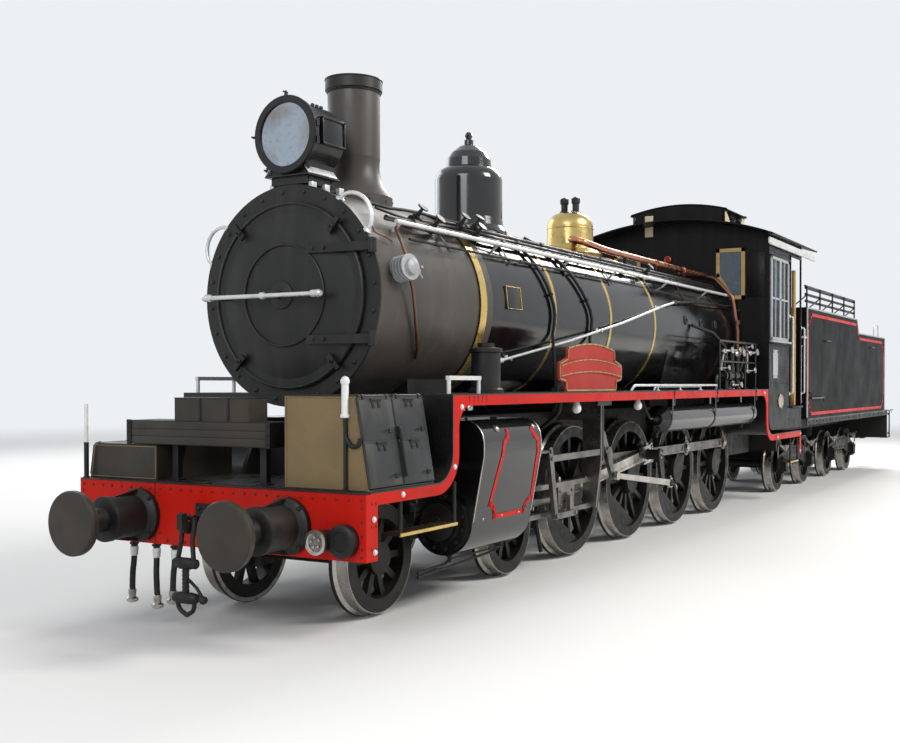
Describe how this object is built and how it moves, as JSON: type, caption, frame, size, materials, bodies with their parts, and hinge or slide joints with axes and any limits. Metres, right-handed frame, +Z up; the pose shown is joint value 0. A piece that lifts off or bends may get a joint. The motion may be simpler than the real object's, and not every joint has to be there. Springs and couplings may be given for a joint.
{
  "type": "steam locomotive with tender",
  "caption": "Narrow-gauge steam locomotive with leading bogie, coupled driving wheels, outside valve gear and a bogie tender hinged at its drawbar.",
  "frame": {"origin": "centre of the bounding box's base: on the centre line, midway between the buffer faces, at the height of the flange tips", "axes": "+X forward towards the smokebox, +Y to the left-hand side, +Z up"},
  "size_m": [17.1, 2.46, 3.81],
  "materials": {
    "black_paint": "satin black paint with oil and dust",
    "smokebox_paint": "matt heat-resisting dark grey",
    "boiler_paint": "gloss black cladding",
    "red_paint": "gloss red paint",
    "plate_red": "red plate with gilt edge",
    "brass": "polished",
    "silver_paint": "aluminium paint",
    "bright_steel": "oiled bright steel",
    "wheel_paint": "painted centres, worn steel treads",
    "glass": "clear"
  },
  "bodies": {
    "engine": {"main_frames": "black_paint", "front_beam": "red_paint", "buffing_gear": "black_paint", "running_boards": "black_paint", "valances": "red_paint", "toolboxes": "black_paint", "front_board": "black_paint", "cylinders": "black_paint", "smokebox_saddle": "black_paint", "smokebox": "smokebox_paint", "chimney": "black_paint", "headlamp": "black_paint", "boiler": "boiler_paint", "boiler_bands": "brass", "firebox": "black_paint", "sand_dome": "black_paint", "steam_dome": "brass", "safety_valves": "black_paint", "boiler_fittings": "silver_paint", "air_pump": "black_paint", "injectors": "black_paint", "footsteps": "black_paint", "air_reservoirs": "black_paint", "nameplates": "plate_red", "cab_front": "black_paint", "cab_sides": "black_paint", "cab_roof": "black_paint", "cab_floor": "black_paint", "backhead": "black_paint", "glass": "glass", "crossheads": "bright_steel", "valve_gear": "bright_steel"},
    "smokebox_door": {"smokebox_door": "smokebox_paint"},
    "toolbox_door_left_front": {"toolbox_door_left_front": "black_paint"},
    "toolbox_door_left_rear": {"toolbox_door_left_rear": "black_paint"},
    "toolbox_door_right_front": {"toolbox_door_right_front": "black_paint"},
    "toolbox_door_right_rear": {"toolbox_door_right_rear": "black_paint"},
    "lead_bogie": {"bogie_frame": "black_paint"},
    "bogie_axle_1": {"bogie_axle_1": "wheel_paint"},
    "bogie_axle_2": {"bogie_axle_2": "wheel_paint"},
    "driving_axle_1": {"driving_axle_1": "wheel_paint"},
    "driving_axle_2": {"driving_axle_2": "wheel_paint"},
    "driving_axle_3": {"driving_axle_3": "wheel_paint"},
    "driving_axle_4": {"driving_axle_4": "wheel_paint"},
    "coupling_rod_left": {"coupling_rod_left": "bright_steel"},
    "main_rod_left": {"main_rod_left": "bright_steel"},
    "eccentric_rod_left": {"eccentric_rod_left": "bright_steel"},
    "coupling_rod_right": {"coupling_rod_right": "bright_steel"},
    "main_rod_right": {"main_rod_right": "bright_steel"},
    "eccentric_rod_right": {"eccentric_rod_right": "bright_steel"},
    "tender": {"tender_frame": "black_paint", "tender_tank": "black_paint", "tender_rails": "black_paint"},
    "filler_lid": {"filler_lid": "black_paint"},
    "tender_bogie_1": {"tender_bogie_1": "black_paint"},
    "tender_axle_1": {"tender_axle_1": "wheel_paint"},
    "tender_axle_2": {"tender_axle_2": "wheel_paint"},
    "tender_bogie_2": {"tender_bogie_2": "black_paint"},
    "tender_axle_3": {"tender_axle_3": "wheel_paint"},
    "tender_axle_4": {"tender_axle_4": "wheel_paint"}
  },
  "joints": [
    {"name": "smokebox_door_hinge", "type": "hinge", "parent": "engine", "child": "smokebox_door", "pos_m": [7.3, 0.712, 2.143], "axis": [0, 0, 1], "range_deg": [0, 100]},
    {"name": "toolbox_door_left_front_hinge", "type": "hinge", "parent": "engine", "child": "toolbox_door_left_front", "pos_m": [7.77, 1.05886, 1.47958], "axis": [1, 0, 0], "range_deg": [0, 95]},
    {"name": "toolbox_door_left_rear_hinge", "type": "hinge", "parent": "engine", "child": "toolbox_door_left_rear", "pos_m": [7.427, 1.05886, 1.47958], "axis": [1, 0, 0], "range_deg": [0, 95]},
    {"name": "toolbox_door_right_front_hinge", "type": "hinge", "parent": "engine", "child": "toolbox_door_right_front", "pos_m": [7.77, -1.11887, 1.15152], "axis": [1, 0, 0], "range_deg": [-95, 0]},
    {"name": "toolbox_door_right_rear_hinge", "type": "hinge", "parent": "engine", "child": "toolbox_door_right_rear", "pos_m": [7.427, -1.11887, 1.15152], "axis": [1, 0, 0], "range_deg": [-95, 0]},
    {"name": "lead_bogie_swivel", "type": "hinge", "parent": "engine", "child": "lead_bogie", "pos_m": [6.215, 0, 0.78], "axis": [0, 0, 1], "range_deg": [-3, 3]},
    {"name": "bogie_axle_1_turn", "type": "hinge", "parent": "lead_bogie", "child": "bogie_axle_1", "pos_m": [7.091, 0, 0.39], "axis": [0, 1, 0], "continuous": true},
    {"name": "bogie_axle_2_turn", "type": "hinge", "parent": "lead_bogie", "child": "bogie_axle_2", "pos_m": [5.339, 0, 0.39], "axis": [0, 1, 0], "continuous": true},
    {"name": "driving_axle_1_turn", "type": "hinge", "parent": "engine", "child": "driving_axle_1", "pos_m": [4.145, 0, 0.5995], "axis": [0, 1, 0], "continuous": true},
    {"name": "driving_axle_2_turn", "type": "hinge", "parent": "engine", "child": "driving_axle_2", "pos_m": [2.85, 0, 0.5995], "axis": [0, 1, 0], "continuous": true},
    {"name": "driving_axle_3_turn", "type": "hinge", "parent": "engine", "child": "driving_axle_3", "pos_m": [1.555, 0, 0.5995], "axis": [0, 1, 0], "continuous": true},
    {"name": "driving_axle_4_turn", "type": "hinge", "parent": "engine", "child": "driving_axle_4", "pos_m": [0.26, 0, 0.5995], "axis": [0, 1, 0], "continuous": true},
    {"name": "coupling_rod_left_pin", "type": "hinge", "parent": "driving_axle_2", "child": "coupling_rod_left", "pos_m": [2.7103, 0.684, 0.84147], "axis": [0, 1, 0], "continuous": true},
    {"name": "main_rod_left_pin", "type": "hinge", "parent": "driving_axle_2", "child": "main_rod_left", "pos_m": [2.7103, 0.743, 0.84147], "axis": [0, 1, 0], "continuous": true},
    {"name": "eccentric_rod_left_pin", "type": "hinge", "parent": "driving_axle_2", "child": "eccentric_rod_left", "pos_m": [2.63895, 0.976, 0.55848], "axis": [0, 1, 0], "continuous": true},
    {"name": "coupling_rod_right_pin", "type": "hinge", "parent": "driving_axle_2", "child": "coupling_rod_right", "pos_m": [3.09197, -0.684, 0.7392], "axis": [0, 1, 0], "continuous": true},
    {"name": "main_rod_right_pin", "type": "hinge", "parent": "driving_axle_2", "child": "main_rod_right", "pos_m": [3.09197, -0.743, 0.7392], "axis": [0, 1, 0], "continuous": true},
    {"name": "eccentric_rod_right_pin", "type": "hinge", "parent": "driving_axle_2", "child": "eccentric_rod_right", "pos_m": [2.80898, -0.976, 0.81055], "axis": [0, 1, 0], "continuous": true},
    {"name": "tender_drawbar_pin", "type": "hinge", "parent": "engine", "child": "tender", "pos_m": [-1.75, 0, 0.708], "axis": [0, 0, 1], "range_deg": [-6, 6]},
    {"name": "filler_lid_hinge", "type": "hinge", "parent": "tender", "child": "filler_lid", "pos_m": [-7.154, 0, 2.4963], "axis": [0, 1, 0], "range_deg": [-100, 0]},
    {"name": "tender_bogie_1_swivel", "type": "hinge", "parent": "tender", "child": "tender_bogie_1", "pos_m": [-3.35, 0, 0.83], "axis": [0, 0, 1], "range_deg": [-5, 5]},
    {"name": "tender_axle_1_turn", "type": "hinge", "parent": "tender_bogie_1", "child": "tender_axle_1", "pos_m": [-2.6, 0, 0.39], "axis": [0, 1, 0], "continuous": true},
    {"name": "tender_axle_2_turn", "type": "hinge", "parent": "tender_bogie_1", "child": "tender_axle_2", "pos_m": [-4.1, 0, 0.39], "axis": [0, 1, 0], "continuous": true},
    {"name": "tender_bogie_2_swivel", "type": "hinge", "parent": "tender", "child": "tender_bogie_2", "pos_m": [-6.4, 0, 0.83], "axis": [0, 0, 1], "range_deg": [-5, 5]},
    {"name": "tender_axle_3_turn", "type": "hinge", "parent": "tender_bogie_2", "child": "tender_axle_3", "pos_m": [-5.65, 0, 0.39], "axis": [0, 1, 0], "continuous": true},
    {"name": "tender_axle_4_turn", "type": "hinge", "parent": "tender_bogie_2", "child": "tender_axle_4", "pos_m": [-7.15, 0, 0.39], "axis": [0, 1, 0], "continuous": true}
  ],
  "couplings": [
    {"joint": "driving_axle_1_turn", "follows": "driving_axle_2_turn", "ratio": 1},
    {"joint": "driving_axle_3_turn", "follows": "driving_axle_2_turn", "ratio": 1},
    {"joint": "driving_axle_4_turn", "follows": "driving_axle_2_turn", "ratio": 1},
    {"joint": "coupling_rod_left_pin", "follows": "driving_axle_2_turn", "ratio": -1},
    {"joint": "main_rod_left_pin", "follows": "driving_axle_2_turn", "ratio": -1},
    {"joint": "eccentric_rod_left_pin", "follows": "driving_axle_2_turn", "ratio": -1},
    {"joint": "coupling_rod_right_pin", "follows": "driving_axle_2_turn", "ratio": -1},
    {"joint": "main_rod_right_pin", "follows": "driving_axle_2_turn", "ratio": -1},
    {"joint": "eccentric_rod_right_pin", "follows": "driving_axle_2_turn", "ratio": -1}
  ]
}
